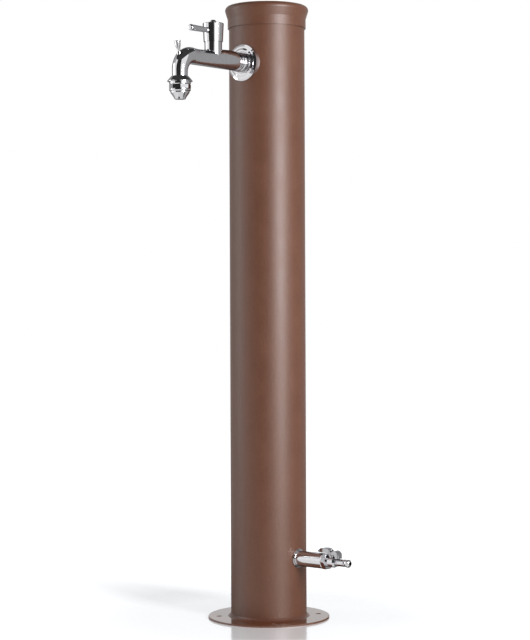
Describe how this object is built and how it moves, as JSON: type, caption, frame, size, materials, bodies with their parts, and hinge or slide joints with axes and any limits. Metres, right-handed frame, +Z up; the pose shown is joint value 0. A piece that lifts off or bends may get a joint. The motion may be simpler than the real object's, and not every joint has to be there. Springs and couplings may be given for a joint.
{
  "type": "garden standpipe",
  "caption": "Freestanding garden water column on a bolted round flange, with a quarter-turn lever tap near the top and a small ball valve with a hose tail near the foot.",
  "frame": {"origin": "centre of the base flange's underside, on the column's axis", "axes": "+Z up along the column, the tap's spout points along -Y and the hose outlet along +X"},
  "size_m": [0.2666, 0.338, 1.01],
  "materials": {
    "column_paint": "fine textured brown powder coat",
    "chrome": "polished",
    "brass": "machined",
    "galvanised_pipe": "zinc plated",
    "steel": "stainless",
    "black_rubber": "smooth",
    "white_ceramic": "lapped",
    "pale_plastic": "moulded"
  },
  "bodies": {
    "column": {"column_tube": "column_paint", "base_flange": "column_paint", "base_weld": "column_paint", "top_cap": "column_paint", "tap_saddle": "chrome", "tap_rosette": "chrome", "tap_spout": "chrome", "bucket_peg": "chrome", "aerator_collar": "chrome", "aerator_nozzle": "chrome", "outlet_extension": "chrome", "valve_body": "chrome", "hose_tail": "chrome", "outlet_ring": "chrome", "outlet_tee": "brass", "tap_elbow": "brass", "riser_nut_lower": "brass", "riser_nut_upper": "brass", "riser_olive_lower": "brass", "riser_olive_upper": "brass", "tap_backnut": "brass", "outlet_backnut": "brass", "headpart_body": "brass", "inlet_pipe": "galvanised_pipe", "riser_pipe": "galvanised_pipe", "tap_backnut_washer": "galvanised_pipe", "outlet_backnut_washer": "galvanised_pipe", "headpart_gasket": "black_rubber", "aerator_gasket": "black_rubber", "hose_tail_oring": "black_rubber", "ceramic_disc_fixed": "white_ceramic", "aerator_insert": "pale_plastic", "valve_seat_inner": "pale_plastic", "valve_seat_outer": "pale_plastic"},
    "tap_lever": {"lever_cap": "chrome", "lever_rod": "chrome", "lever_button": "chrome", "lever_screw": "steel", "headpart_spindle": "brass", "spindle_oring": "black_rubber", "ceramic_disc_moving": "white_ceramic"},
    "outlet_handle": {"butterfly_handle": "chrome", "handle_screw": "chrome", "valve_stem": "brass", "stem_oring": "black_rubber", "valve_ball": "steel"}
  },
  "joints": [
    {"name": "lever_turn", "type": "hinge", "parent": "column", "child": "tap_lever", "pos_m": [0, -0.1372, 0.937], "axis": [0, 0, 1], "range_deg": [0, 90]},
    {"name": "handle_turn", "type": "hinge", "parent": "column", "child": "outlet_handle", "pos_m": [0.13, 0, 0.1122], "axis": [0, 0, 1], "range_deg": [0, 90]}
  ]
}
